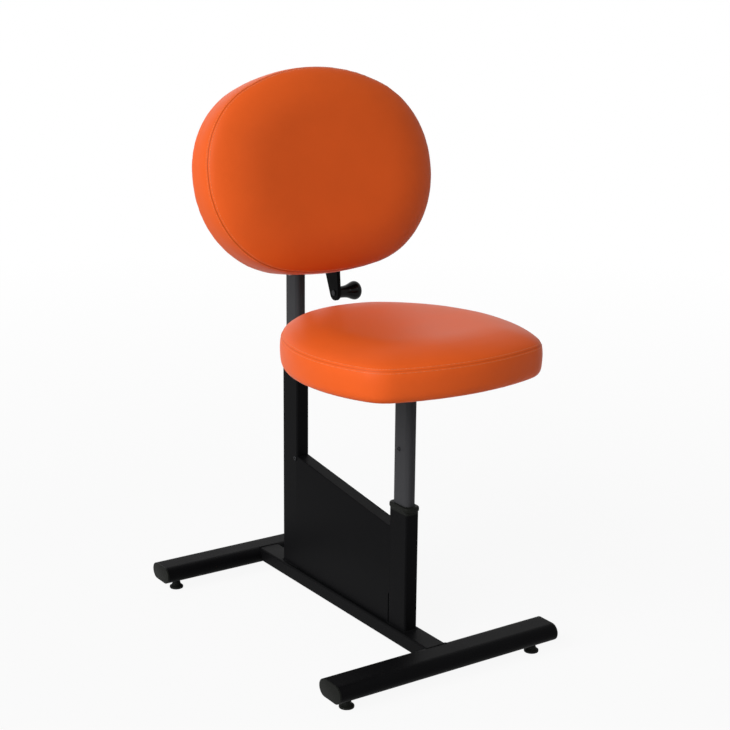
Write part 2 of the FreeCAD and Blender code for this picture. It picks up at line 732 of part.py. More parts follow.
class Oval:
    """Outline of eight tangent arcs, the same on both sides of X = 0, widest on Y = 0.

    The outline is given in shares of the half width, so that it grows as a whole: the side radius, then
    the reach, corner radius and end radius to the rear, then the same three to the front.
    """

    def __init__(self, half_width, outline):
        side, rear, front = outline
        self.side_radius = side * half_width
        self.side_centre = Vector(half_width - self.side_radius, 0, 0)
        reach, self.rear_corner, self.rear_radius = [share * half_width for share in rear]
        self.rear_centre = Vector(0, reach - self.rear_radius, 0)
        self.rear_corner_centre = self.corner_centre(self.rear_centre, self.rear_radius, self.rear_corner)
        reach, self.front_corner, self.front_radius = [share * half_width for share in front]
        self.front_centre = Vector(0, self.front_radius - reach, 0)
        mirrored = self.corner_centre(-self.front_centre, self.front_radius, self.front_corner)
        self.front_corner_centre = Vector(mirrored.x, -mirrored.y, 0)

    def corner_centre(self, end_centre, end_radius, corner):
        return circles_meet(self.side_centre, self.side_radius - corner, end_centre, end_radius - corner)

    def wire(self, inset, height, share=1.0):
        """Closed wire drawn in by inset, at a height, shrunk towards the middle to a share of its size."""
        def angle(start, end):
            return atan2(end.y - start.y, end.x - start.x)
        front_in = angle(self.front_centre, self.front_corner_centre)
        front_out = angle(self.side_centre, self.front_corner_centre)
        rear_out = angle(self.side_centre, self.rear_corner_centre)
        rear_in = angle(self.rear_centre, self.rear_corner_centre)
        right = [
            (self.front_corner_centre, self.front_corner, front_in, front_out),
            (self.side_centre, self.side_radius, front_out, rear_out),
            (self.rear_corner_centre, self.rear_corner, rear_out, rear_in),
        ]
        left = [(Vector(-centre.x, centre.y, 0), radius, pi - end, pi - start)
                for centre, radius, start, end in reversed(right)]
        arcs = right + [(self.rear_centre, self.rear_radius, rear_in, pi - rear_in)]
        arcs += left + [(self.front_centre, self.front_radius, -pi - front_in, front_in)]
        edges = []
        for centre, radius, start, end in arcs:
            edge = []
            for turn in (start, (start + end) / 2, end):
                across = centre + Vector(cos(turn), sin(turn), 0) * (radius - inset)
                edge.append(across * share + Z * height)
            edges.append(Part.Arc(*edge).toShape())
        return Part.Wire(edges)

    def plate(self, inset, low, high):
        return Part.Face(self.wire(inset, low)).extrude(Z * (high - low))


def cushion(oval, thickness, seam, tuck, hidden):
    """Pad drawn in to its board below the seam, with a broad roll above it that runs into a flat middle.

    Hidden is the depth of the pocket underneath for the board.
    """
    tuck_top = tuck[-1][0]
    stages = list(tuck) + [((tuck_top + seam) / 2, 0), (seam, seam_inset)]
    wires = [oval.wire(inset, height) for height, inset in stages]
    start = radians(roll_start)
    for step in range(1, roll_steps + 1):
        lean = start + (pi / 2 - start) * step / roll_steps
        rise = (sin(lean) - sin(start)) / (1 - sin(start))
        share = 1 - (1 - flat_share) * (1 - cos(lean) / cos(start))
        wires.append(oval.wire(seam_inset, seam + (thickness - seam) * rise, share))
    pad = Part.makeLoft(wires, True, True)
    return pad.cut(oval.plate(board_inset, 0, hidden))


seat_oval = Oval(seat_half_width, seat_outline_shares)
back_oval = Oval(back_half_width, back_outline_shares)


def on_seat(shape):
    return shape.translate(Vector(0, seat_y, seat_underside))


def on_back(shape):
    """Stand a shape drawn flat on the backrest's rear plane: its Y goes up the rest, its Z to the front."""
    tilt = radians(back_tilt)
    up = Vector(0, sin(tilt), cos(tilt))
    ahead = Vector(0, -cos(tilt), sin(tilt))
    turn = Matrix(X, up, ahead, Vector(0, back_y, back_middle_height))
    return shape.transformed(turn)


def bolt_grid(across, along, middle=0.0):
    return [(x * across / 2, middle + y * along / 2) for x in (-1, 1) for y in (-1, 1)]


def board_bolt(x, y, head_top, tip):
    """Bolt along +Z with its head below head_top."""
    shank = rod(board_bolt_diameter / 2, tip - head_top, Vector(x, y, head_top), Z)
    head = rod(board_bolt_head_radius, board_bolt_head, Vector(x, y, head_top - board_bolt_head), Z)
    return shank.fuse(head).removeSplitter()


def bored(shape, places, low, high):
    """Shape with a board bolt's hole at each place, from low to high."""
    for x, y in places:
        shape = shape.cut(rod(board_bolt_diameter / 2 + bolt_gap, high - low, Vector(x, y, low), Z))
    return shape


def slide_tube(middle_y, z0, z1):
    return post_tube(slide_width, slide_depth, slide_corner, slide_wall, middle_y, z0, z1)


def build_seat():
    """The seat's own pieces are drawn with Z = 0 on its underside, then lifted into place."""
    hidden = dust_cover + board_thickness
    bite = dust_cover + board_bolt_bite
    edge = board_inset + soft_gap
    post_middle = front_post_y - seat_y
    places = bolt_grid(seat_bolt_across, seat_bolt_along, post_middle)
    cover = bored(seat_oval.plate(edge, 0, dust_cover), places, 0, dust_cover)
    board = bored(seat_oval.plate(edge, dust_cover, hidden), places, dust_cover, bite)
    plate = post(seat_plate_width, seat_plate_depth, seat_plate_corner, post_middle, -seat_plate_wall, 0)
    bolts = [board_bolt(x, y, -seat_plate_wall, bite - tip_gap) for x, y in places]
    save("seat_cushion", on_seat(cushion(seat_oval, seat_thickness, seat_seam_height, seat_tuck, hidden)))
    save("seat_board", on_seat(board))
    save("seat_dust_cover", on_seat(cover))
    save("seat_plate", on_seat(bored(plate, places, -seat_plate_wall, 0)))
    save("seat_bolts", *[on_seat(bolt) for bolt in bolts])
    tube = slide_tube(front_post_y, seat_tube_bottom, seat_tube_top)
    save("seat_inner_tube", tube.cut(screw_hole(*stop_screw_place)))
    stop = slide_filler(press_gap, front_post_y, stop_block_low, stop_block_low + stop_block_height)
    save("seat_stop_block", stop.cut(screw_hole(*stop_screw_place)))
    save("seat_stop_screw", small_screw(*stop_screw_place))
    save("seat_lift_nut", lift_nut(front_post_y, seat_tube_bottom))
    save("seat_lower_glide", lower_glide(front_post_y, seat_tube_bottom))


bracket_bolt_middle = back_middle_height + bracket_middle * cos(radians(back_tilt))
bracket_bolt_heights = [bracket_bolt_middle + side * bracket_bolt_spacing / 2 for side in (-1, 1)]
cheek_outside = slide_width / 2 + bracket_wall
back_bolt_places = bolt_grid(back_bolt_span, back_bolt_rise, bracket_middle)


def through_bolt(z, play):
    """Rod through both cheeks and the post, grown by some play."""
    start = Vector(-cheek_outside, rear_post_y, z)
    return rod(bracket_bolt_diameter / 2 + play, 2 * cheek_outside, start, X)


def back_bracket():
    """Tilted plate on the backrest, with two cheeks that hold the post between them."""
    plate = block(-bracket_half_width, bracket_half_width, bracket_low, bracket_high, -bracket_wall, 0)
    plate = plate.makeFillet(bracket_corner, edges_along(plate, Z))
    bracket = on_back(bored(plate, back_bolt_places, -bracket_wall, 0))
    tilt = radians(back_tilt)
    near = []
    for along in (bracket_low + cheek_inset, bracket_high - cheek_inset):
        y = back_y + bracket_wall * cos(tilt) + along * sin(tilt)
        near.append((y, back_middle_height + along * cos(tilt) - bracket_wall * sin(tilt)))
    far_y = rear_post_y + bracket_reach
    corners = near + [(far_y, near[1][1]), (far_y, near[0][1])]
    for start in (-cheek_outside, slide_width / 2):
        bracket = bracket.fuse(prism([Vector(start, y, z) for y, z in corners], bracket_wall))
    for z in bracket_bolt_heights:
        bracket = bracket.cut(through_bolt(z, bolt_gap))
    return bracket.removeSplitter()


def bracket_bolt(z):
    """Bolt through both cheeks and the post, with a head on one side and a nut on the other."""
    bolt = through_bolt(z, 0)
    for side in (-1, 1):
        head_start = Vector(side * cheek_outside, rear_post_y, z)
        bolt = bolt.fuse(rod(bolt_head_radius, bolt_head, head_start, X * side))
    return bolt.removeSplitter()


def build_back():
    """The backrest's own pieces are drawn flat with Z = 0 on its rear plane, then stood up."""
    hidden = rear_panel + board_thickness
    bite = rear_panel + board_bolt_bite
    edge = board_inset + soft_gap
    places = back_bolt_places
    skin = bored(back_oval.plate(edge, 0, rear_panel), places, 0, rear_panel)
    board = bored(back_oval.plate(edge, rear_panel, hidden), places, rear_panel, bite)
    bolts = [board_bolt(x, y, -bracket_wall, bite - tip_gap) for x, y in places]
    save("back_cushion", on_back(cushion(back_oval, back_thickness, back_seam_height, back_tuck, hidden)))
    save("back_board", on_back(board))
    save("back_rear_panel", on_back(skin))
    save("back_board_bolts", *[on_back(bolt) for bolt in bolts])
    save("back_bracket", back_bracket())
    save("back_bracket_bolts", *[bracket_bolt(z) for z in bracket_bolt_heights])
    tube = slide_tube(rear_post_y, back_tube_bottom, back_tube_top)
    for z in bracket_bolt_heights:
        tube = tube.cut(through_bolt(z, bolt_gap))
    tube = tube.cut(rod(crank_bush_diameter / 2, slide_width, crank_centre - X * (slide_width / 2), X))
    save("back_inner_tube", tube)
    cap = slide_outside(0, rear_post_y, back_tube_top, back_tube_top + tube_cap)
    plug = slide_filler(press_gap, rear_post_y, back_tube_top - tube_cap_plug, back_tube_top)
    save("back_tube_cap", cap.fuse(plug).removeSplitter())
    save("back_lift_nut", lift_nut(rear_post_y, back_tube_bottom))
    save("back_lower_glide", lower_glide(rear_post_y, back_tube_bottom))
    bearing = slide_filler(press_gap, rear_post_y, drive_block_low, drive_block_top)
    bore_start = Vector(0, rear_post_y, drive_block_low)
    bearing = bearing.cut(rod(drive_journal_diameter / 2 + run_gap, drive_block_height, bore_start, Z))
    save("drive_shaft_bearing", bearing)
    save("crank_bushes", crank_bush(-1), crank_bush(1))


def main():
    os.makedirs("parts", exist_ok=True)
    build_foot_frame()
    build_posts()
    build_cross_drive()
    build_lift_screws()
    build_crank()
    build_seat()
    build_back()


main()
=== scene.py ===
"""Looks of a crank-raised client chair: padded cushions, stitching, feet, welds, finishes and studio."""

import json
import math

import bmesh
import bpy
import numpy as np
from bpy.props import FloatProperty, FloatVectorProperty, PointerProperty
from mathutils import Matrix, Vector

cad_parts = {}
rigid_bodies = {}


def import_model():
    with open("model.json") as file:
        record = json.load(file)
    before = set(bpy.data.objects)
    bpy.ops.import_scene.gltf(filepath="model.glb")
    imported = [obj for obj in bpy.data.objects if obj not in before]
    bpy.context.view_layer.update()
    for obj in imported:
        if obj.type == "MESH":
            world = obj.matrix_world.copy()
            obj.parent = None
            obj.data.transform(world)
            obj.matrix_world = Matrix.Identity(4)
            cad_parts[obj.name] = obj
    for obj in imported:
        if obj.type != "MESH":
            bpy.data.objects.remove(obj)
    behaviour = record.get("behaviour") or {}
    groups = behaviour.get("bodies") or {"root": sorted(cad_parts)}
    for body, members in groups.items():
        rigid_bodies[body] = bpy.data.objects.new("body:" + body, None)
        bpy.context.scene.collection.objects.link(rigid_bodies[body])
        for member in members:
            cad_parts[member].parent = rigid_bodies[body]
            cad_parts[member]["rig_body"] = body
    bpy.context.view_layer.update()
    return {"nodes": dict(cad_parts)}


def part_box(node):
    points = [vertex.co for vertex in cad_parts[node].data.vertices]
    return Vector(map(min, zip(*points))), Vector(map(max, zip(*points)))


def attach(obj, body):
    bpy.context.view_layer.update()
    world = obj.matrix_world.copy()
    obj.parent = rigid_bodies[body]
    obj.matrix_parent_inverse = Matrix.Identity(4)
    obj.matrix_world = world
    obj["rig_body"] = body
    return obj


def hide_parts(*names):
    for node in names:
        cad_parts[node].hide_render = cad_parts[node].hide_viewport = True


bl_info = {
    "name": "Client chair look",
    "version": (1, 0, 0),
    "blender": (4, 5, 0),
    "location": "3D View > Sidebar > Chair",
    "description": "Cushions, stitching, feet, welds, finishes and studio for a crank-raised client chair",
    "category": "Object",
}

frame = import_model()
MM = 0.001
WAVE = math.pi / 10  # metres after which a straight wave texture of scale 1 repeats

BACK_TILT = math.radians(12.3)  # lean of the backrest's cushion behind the vertical
BACK_NORMAL = Vector((0, -math.cos(BACK_TILT), math.sin(BACK_TILT)))
SEAT_NORMAL = Vector((0, 0, 1))


def linear(hex_colour):
    """An sRGB hex colour as linear red, green and blue with full alpha."""
    shares = [int(hex_colour[start:start + 2], 16) / 255 for start in (1, 3, 5)]
    return tuple(s / 12.92 if s <= 0.04045 else ((s + 0.055) / 1.055) ** 2.4 for s in shares) + (1.0,)


def length(label, description, millimetres):
    """A length property, given in millimetres."""
    return FloatProperty(name=label, description=description, default=millimetres * MM, unit="LENGTH",
                         subtype="DISTANCE", precision=5)


def colour(label, description, hex_colour):
    """A colour property, given as sRGB hex."""
    return FloatVectorProperty(name=label, description=description, default=linear(hex_colour), size=4,
                               subtype="COLOR", min=0, max=1)


# Settings


class ChairSizes(bpy.types.PropertyGroup):
    """Sizes of the pieces that are added to the frame"""

    cushion_mesh: length("Cushion mesh", "Size of the cushions' mesh before they are subdivided", 5.0)
    start_inset: length("Start inset", "How much smaller a cushion is before it swells", 0.8)
    swell_limit: length("Swell limit", "How far pressure may push a cushion's cover out", 3.0)
    held_edge: length("Held edge", "Height of the rear edge of a cushion that stays as it is", 12.0)
    seat_seam: length("Seat seam", "Height of the seat's seam above its underside", 52.0)
    back_seam: length("Back seam", "Distance of the backrest's seam from its rear plane", 59.0)
    seam_depth: length("Seam depth", "How deep the seam draws into the cushion", 0.4)
    stitch_gap: length("Stitch gap", "Distance of each stitch row from the seam", 3.0)
    stitch_pitch: length("Stitch pitch", "Distance from one stitch to the next", 4.4)
    stitch_length: length("Stitch length", "Length of thread showing in one stitch", 3.0)
    thread: length("Thread", "Diameter of the sewing thread", 0.8)
    weld: length("Weld", "Width of a weld bead", 3.6)
    open_joint: length("Open joint", "Height up to which the joint of panel and front post shows", 100.0)


class ChairColours(bpy.types.PropertyGroup):
    """Colours of the finishes"""

    leatherette: colour("Leatherette", "Cover of the seat and backrest", "#DC5A20")
    thread: colour("Thread", "Top-stitching along the seams", "#E27F4E")
    powder_coat: colour("Powder coat", "Base, posts, panel, brackets and crank arm", "#09090A")
    slide_paint: colour("Slide paint", "Sliding tubes", "#343436")
    plastic: colour("Plastic", "End caps, collars and feet", "#131412")
    knob: colour("Knob", "Crank knob", "#0B0B0C")
    floor: colour("Floor", "Studio floor", "#D2D2D2")


# Working helpers


def only(obj):
    """Makes one object the whole selection and the active object."""
    bpy.ops.object.select_all(action="DESELECT")
    obj.select_set(True)
    bpy.context.view_layer.objects.active = obj


def cad_copy(node_name, name):
    """A new object with a merged copy of a CAD node's mesh."""
    copy = bpy.data.objects.new(name, frame["nodes"][node_name].data.copy())
    bpy.context.scene.collection.objects.link(copy)
    only(copy)
    bpy.ops.mesh.customdata_custom_splitnormals_clear()
    bpy.ops.object.mode_set(mode="EDIT")
    bpy.ops.mesh.select_all(action="SELECT")
    bpy.ops.mesh.remove_doubles(threshold=0.01 * MM)
    bpy.ops.object.mode_set(mode="OBJECT")
    return copy


def modify(obj, kind, **settings):
    """Adds one modifier to an object, sets it and applies it."""
    only(obj)
    modifier = obj.modifiers.new(kind.title(), kind)
    for field, value in settings.items():
        setattr(modifier, field, value)
    bpy.ops.object.modifier_apply(modifier=modifier.name)


def points_of(obj, field="co"):
    """The places or normals of an object's vertices as an array."""
    values = np.empty(len(obj.data.vertices) * 3, np.float32)
    obj.data.vertices.foreach_get(field, values)
    return values.reshape(-1, 3).astype(float)


def set_points(obj, points):
    """Moves an object's vertices to these places."""
    obj.data.vertices.foreach_set("co", points.astype(np.float32).ravel())
    obj.data.update()


def ramp(values, start, end):
    """0 up to start, 1 from end on, and a smooth rise between them."""
    share = np.clip((values - start) / (end - start), 0, 1)
    return share * share * (3 - 2 * share)


def finish_piece(obj, material, body, smooth_angle=35):
    """Shades a piece, gives it its material, and lets it ride on its body."""
    only(obj)
    bpy.ops.object.shade_smooth_by_angle(angle=math.radians(smooth_angle))
    obj.data.materials.clear()
    obj.data.materials.append(material)
    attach(obj, body)


# Finishes


def node(owner, kind, sockets=None, **settings):
    """Adds a shader node to a material or world, sets its fields, and sets or links its input sockets."""
    made = owner.node_tree.nodes.new("ShaderNode" + kind)
    for field, value in settings.items():
        setattr(made, field, value)
    for name, value in (sockets or {}).items():
        if isinstance(value, bpy.types.NodeSocket):
            owner.node_tree.links.new(value, made.inputs[name])
        else:
            made.inputs[name].default_value = value
    return made


def new_material(name):
    """An empty node material."""
    material = bpy.data.materials.new(name)
    material.use_nodes = True
    material.node_tree.nodes.clear()
    return material


def surface(material, sockets):
    """Ends a material in one Principled shader."""
    shader = node(material, "BsdfPrincipled", sockets)
    node(material, "OutputMaterial", {"Surface": shader.outputs["BSDF"]})
    return material


def shade(rgba, share):
    """The same colour, lighter or darker."""
    return tuple(min(1.0, channel * share) for channel in rgba[:3]) + (1.0,)


def leatherette(base):
    """PVC leatherette, calendered and embossed: an even colour, a fine pebble grain, a soft sheen and
    painted shade along the seam.
    """
    material = new_material("pvc_leatherette")
    place = node(material, "TexCoord").outputs["Object"]
    # Pebbles are about 1.2 mm wide; drawn at 2.4 mm so that they show.
    pebbles = node(material, "TexVoronoi", {"Vector": place, "Scale": 1 / (2.4 * MM), "Randomness": 0.9},
                   feature="SMOOTH_F1")
    creases = node(material, "TexNoise", {"Vector": place, "Scale": 1 / (9 * MM), "Detail": 4.0})
    relief = node(material, "Math", {0: pebbles.outputs["Distance"], 1: creases.outputs["Fac"]},
                  operation="ADD")
    bump = node(material, "Bump", {"Height": relief.outputs[0], "Strength": 0.16, "Distance": 0.35 * MM})
    # The foil's colour wanders a little over a hand's breadth.
    tone = node(material, "TexNoise", {"Vector": place, "Scale": 1 / (90 * MM), "Detail": 3.0})
    body = node(material, "Mix", {0: tone.outputs["Fac"], 6: shade(base, 0.93), 7: shade(base, 1.06)},
                data_type="RGBA")
    # Painted shade in the seam's groove: along the seam mark the colour darkens to 0.3 of the base.
    seam = node(material, "Attribute", attribute_name="seam").outputs["Fac"]
    seam_shaded_colour = node(material, "Mix", {0: seam, 6: body.outputs[2], 7: shade(base, 0.3)}, data_type="RGBA")
    rough = node(material, "MapRange", {"Value": tone.outputs["Fac"], "To Min": 0.40, "To Max": 0.50})
    return surface(material, {"Base Color": seam_shaded_colour.outputs[2], "Roughness": rough.outputs[0],
                              "Normal": bump.outputs[0], "Specular IOR Level": 0.1})


def sewing_thread(base):
    """Bonded polyester thread: matt, with slanted bands of painted light and shade for its twist."""
    material = new_material("polyester_thread")
    place = node(material, "TexCoord").outputs["Object"]
    # The twist repeats after about 0.7 mm; drawn at about 5 mm, which tells one stitch from the next.
    twist = node(material, "TexWave", {"Vector": place, "Scale": WAVE / (4.4 * MM), "Distortion": 1.0},
                 bands_direction="DIAGONAL")
    # Painted shade: the dark bands take the thread down to 0.75 of its colour, for the shade between the
    # twist's plies.
    tone = node(material, "Mix", {0: twist.outputs["Fac"], 6: shade(base, 0.75), 7: base}, data_type="RGBA")
    return surface(material, {"Base Color": tone.outputs[2], "Roughness": 0.7, "Specular IOR Level": 0.3})


def powder_coat(base):
    """Black polyester powder coat, sprayed and baked: satin, with a slight orange peel."""
    material = new_material("black_powder_coat")
    place = node(material, "TexCoord").outputs["Object"]
    # Orange peel has waves of about 1.5 mm; drawn at 3 mm so that they show.
    peel = node(material, "TexNoise", {"Vector": place, "Scale": 1 / (3 * MM), "Detail": 2.0})
    bump = node(material, "Bump", {"Height": peel.outputs["Fac"], "Strength": 0.10, "Distance": 0.3 * MM})
    dust = node(material, "TexNoise", {"Vector": place, "Scale": 1 / (60 * MM), "Detail": 5.0})
    tone = node(material, "Mix", {0: dust.outputs["Fac"], 6: shade(base, 0.8), 7: shade(base, 1.35)},
                data_type="RGBA")
    rough = node(material, "MapRange", {"Value": dust.outputs["Fac"], "To Min": 0.42, "To Max": 0.56})
    return surface(material, {"Base Color": tone.outputs[2], "Roughness": rough.outputs[0],
                              "Normal": bump.outputs[0], "Specular IOR Level": 0.025})


def slide_paint(base):
    """Grey stoved enamel on a drawn tube: smooth, with faint upright streaks where the collar rubs."""
    material = new_material("grey_stoved_enamel")
    place = node(material, "TexCoord").outputs["Object"]
    # Streaks are about 2 mm wide and a hand long.
    streaks = (1 / (2 * MM), 1 / (2 * MM), 1 / (120 * MM))
    stretch = node(material, "Mapping", {"Vector": place, "Scale": streaks})
    streak = node(material, "TexNoise", {"Vector": stretch.outputs[0], "Scale": 1.0, "Detail": 3.0})
    tone = node(material, "Mix", {0: streak.outputs["Fac"], 6: shade(base, 0.85), 7: shade(base, 1.15)},
                data_type="RGBA")
    rough = node(material, "MapRange", {"Value": streak.outputs["Fac"], "To Min": 0.38, "To Max": 0.55})
    bump = node(material, "Bump", {"Height": streak.outputs["Fac"], "Strength": 0.05, "Distance": 0.1 * MM})
    return surface(material, {"Base Color": tone.outputs[2], "Roughness": rough.outputs[0],
                              "Normal": bump.outputs[0], "Specular IOR Level": 0.06})


def moulded_plastic(base):
    """Black polypropylene, moulded in a spark-eroded tool: matt and finely pitted."""
    material = new_material("moulded_polypropylene")
    place = node(material, "TexCoord").outputs["Object"]
    # The pits are about 0.2 mm; drawn at 1.2 mm so that they show.
    pits = node(material, "TexNoise", {"Vector": place, "Scale": 1 / (1.2 * MM), "Detail": 3.0})
    bump = node(material, "Bump", {"Height": pits.outputs["Fac"], "Strength": 0.15, "Distance": 0.15 * MM})
    cloud = node(material, "TexNoise", {"Vector": place, "Scale": 1 / (25 * MM), "Detail": 3.0})
    tone = node(material, "Mix", {0: cloud.outputs["Fac"], 6: shade(base, 0.8), 7: shade(base, 1.3)},
                data_type="RGBA")
    return surface(material, {"Base Color": tone.outputs[2], "Roughness": 0.55, "Normal": bump.outputs[0],
                              "Specular IOR Level": 0.06})


def acetal():
    """Natural acetal, machined: off-white and waxy, with faint cutting marks."""
    material = new_material("machined_acetal")
    place = node(material, "TexCoord").outputs["Object"]
    # Cutting marks are about 0.15 mm apart; drawn at 5 mm so that they show.
    cuts = node(material, "TexWave", {"Vector": place, "Scale": WAVE / (5 * MM), "Distortion": 0.5},
                bands_direction="Z")
    tone = node(material, "Mix", {0: cuts.outputs["Fac"], 6: linear("#D6D2C6"), 7: linear("#E4E1D8")},
                data_type="RGBA")
    bump = node(material, "Bump", {"Height": cuts.outputs["Fac"], "Strength": 0.05, "Distance": 0.1 * MM})
    return surface(material, {"Base Color": tone.outputs[2], "Roughness": 0.38, "Normal": bump.outputs[0],
                              "IOR": 1.48})


def turned_metal(name, dark, bright, rough_low, rough_high):
    """A metal turned on a lathe: fine cutting rings and a hard gleam."""
    material = new_material(name)
    place = node(material, "TexCoord").outputs["Object"]
    # Cutting rings are about 0.15 mm apart; drawn at 5 mm so that they show.
    rings = node(material, "TexWave", {"Vector": place, "Scale": WAVE / (5 * MM), "Distortion": 0.8},
                 bands_direction="Z")
    haze = node(material, "TexNoise", {"Vector": place, "Scale": 1 / (12 * MM), "Detail": 4.0})
    tone = node(material, "Mix", {0: haze.outputs["Fac"], 6: linear(dark), 7: linear(bright)},
                data_type="RGBA")
    rough = node(material, "MapRange", {"Value": haze.outputs["Fac"], "To Min": rough_low,
                                        "To Max": rough_high})
    bump = node(material, "Bump", {"Height": rings.outputs["Fac"], "Strength": 0.06, "Distance": 0.1 * MM})
    return surface(material, {"Base Color": tone.outputs[2], "Metallic": 1.0,
                              "Roughness": rough.outputs[0], "Normal": bump.outputs[0]})


def gloss_knob(base):
    """Phenolic resin, pressed and polished: near black and glossy, with faint handling haze."""
    material = new_material("polished_phenolic")
    place = node(material, "TexCoord").outputs["Object"]
    haze = node(material, "TexNoise", {"Vector": place, "Scale": 1 / (14 * MM), "Detail": 4.0})
    tone = node(material, "Mix", {0: haze.outputs["Fac"], 6: shade(base, 0.8), 7: shade(base, 1.6)},
                data_type="RGBA")
    rough = node(material, "MapRange", {"Value": haze.outputs["Fac"], "To Min": 0.06, "To Max": 0.14})
    return surface(material, {"Base Color": tone.outputs[2], "Roughness": rough.outputs[0],
                              "Specular IOR Level": 0.1})


def birch_plywood():
    """Birch plywood, sanded and unsealed: pale and matt, with long grain."""
    material = new_material("birch_plywood")
    place = node(material, "TexCoord").outputs["Object"]
    # Grain lines are about 3 mm apart and run along X.
    fibres = (1 / (160 * MM), 1 / (6 * MM), 1 / (6 * MM))
    stretch = node(material, "Mapping", {"Vector": place, "Scale": fibres})
    grain = node(material, "TexNoise", {"Vector": stretch.outputs[0], "Scale": 1.0, "Detail": 5.0,
                                        "Distortion": 0.6})
    tone = node(material, "Mix", {0: grain.outputs["Fac"], 6: linear("#B08A5C"), 7: linear("#DCC39A")},
                data_type="RGBA")
    bump = node(material, "Bump", {"Height": grain.outputs["Fac"], "Strength": 0.1, "Distance": 0.2 * MM})
    return surface(material, {"Base Color": tone.outputs[2], "Roughness": 0.65, "Normal": bump.outputs[0]})


def dust_cloth():
    """Spunbonded polypropylene, point-bonded by a hot roller: matt black with a grid of small dimples."""
    material = new_material("spunbond_cloth")
    place = node(material, "TexCoord").outputs["Object"]
    # Bond points are about 1.6 mm apart; drawn at 3 mm so that they show.
    dimples = node(material, "TexVoronoi", {"Vector": place, "Scale": 1 / (3 * MM), "Randomness": 0.15})
    fibres = node(material, "TexNoise", {"Vector": place, "Scale": 1 / (4 * MM), "Detail": 6.0,
                                         "Distortion": 1.5})
    tone = node(material, "Mix", {0: fibres.outputs["Fac"], 6: linear("#101011"), 7: linear("#2A2A2B")},
                data_type="RGBA")
    bump = node(material, "Bump", {"Height": dimples.outputs["Distance"], "Strength": 0.35,
                                   "Distance": 0.4 * MM})
    return surface(material, {"Base Color": tone.outputs[2], "Roughness": 0.85, "Normal": bump.outputs[0],
                              "Specular IOR Level": 0.2})


def all_finishes(colours):
    """Every finish by the record's slot name, with the extra ones that only added pieces use."""
    return {
        "leatherette": leatherette(colours.leatherette),
        "powder_coat": powder_coat(colours.powder_coat),
        "grey_tube": slide_paint(colours.slide_paint),
        "black_plastic": moulded_plastic(colours.plastic),
        "bearing_plastic": acetal(),
        "steel": turned_metal("turned_steel", "#8C8D90", "#B4B5B8", 0.24, 0.38),
        "black_fastener": turned_metal("black_oxide_steel", "#1A1A1C", "#343437", 0.34, 0.48),
        "lift_nut": turned_metal("turned_bronze", "#8E6A34", "#B98F4E", 0.28, 0.42),
        "knob": gloss_knob(colours.knob),
        "plywood": birch_plywood(),
        "dust_cloth": dust_cloth(),
        "thread": sewing_thread(colours.thread),
        "bright_zinc": turned_metal("bright_zinc_plate", "#C4C6C9", "#E2E3E5", 0.12, 0.22),
    }


finishes = {}


class CHAIR_OT_finishes(bpy.types.Operator):
    """Makes the finishes and gives every CAD node the one of its slot"""

    bl_idname = "chair.finishes"
    bl_label = "Finishes"

    def execute(self, context):
        finishes.update(all_finishes(context.scene.chair_colours))
        for cad_node in frame["nodes"].values():
            cad_node.data.materials[0] = finishes[cad_node.data.materials[0].name]
        return {"FINISHED"}


# Cushions

SWELL_PRESSURE = 4.0
SWELL_FRAMES = 20
LEAST_RISE = 0.6  # share of its limit that every point of a cushion rises at least
EVENING_ROUNDS = 40  # rounds of averaging with neighbours
SEAM_CUTS = (-1.5, -0.7, 0.0, 0.7, 1.5)  # edge loops beside the seam's middle, in millimetres
SEAM_WIDTH = 0.6 * MM
# The seat's seam is drawn in shallower and with fainter painted shade than the backrest's, because less
# shade falls in it under this light.
SEAT_SEAM_SHOWS = 0.4
BACK_SEAM_SHOWS = 1.0


def evened(obj, values, rounds):
    """A value for each vertex, averaged with its neighbours' again and again."""
    ends = np.empty(len(obj.data.edges) * 2, np.int32)
    obj.data.edges.foreach_get("vertices", ends)
    one, other = ends.reshape(-1, 2).T
    size = len(values)
    count = np.bincount(one, minlength=size) + np.bincount(other, minlength=size)
    for _ in range(rounds):
        total = np.bincount(one, values[other], size) + np.bincount(other, values[one], size)
        values = (values + total / count) / 2
    return values


def swell(pad, limit):
    """Blows a cushion up with cloth pressure; the cover moves out evenly, and nowhere past its limit."""
    start = points_of(pad)
    outward = points_of(pad, "normal")
    held = pad.vertex_groups.new(name="held")
    held.add(np.flatnonzero(limit < 0.1 * MM).tolist(), 1.0, "REPLACE")
    only(pad)
    cloth = pad.modifiers.new("Cloth", "CLOTH")
    cloth.settings.use_pressure = True
    cloth.settings.uniform_pressure_force = SWELL_PRESSURE
    cloth.settings.vertex_group_mass = held.name
    cloth.settings.effector_weights.gravity = 0.0
    cloth.point_cache.frame_start = 1
    cloth.point_cache.frame_end = SWELL_FRAMES
    for step in range(1, SWELL_FRAMES + 1):
        bpy.context.scene.frame_set(step)
    bpy.ops.object.modifier_apply(modifier=cloth.name)
    bpy.context.scene.frame_set(1)
    rise = ((points_of(pad) - start) * outward).sum(axis=1)
    rise = evened(pad, np.clip(rise, LEAST_RISE * limit, limit), EVENING_ROUNDS)
    set_points(pad, start + outward * rise[:, None])


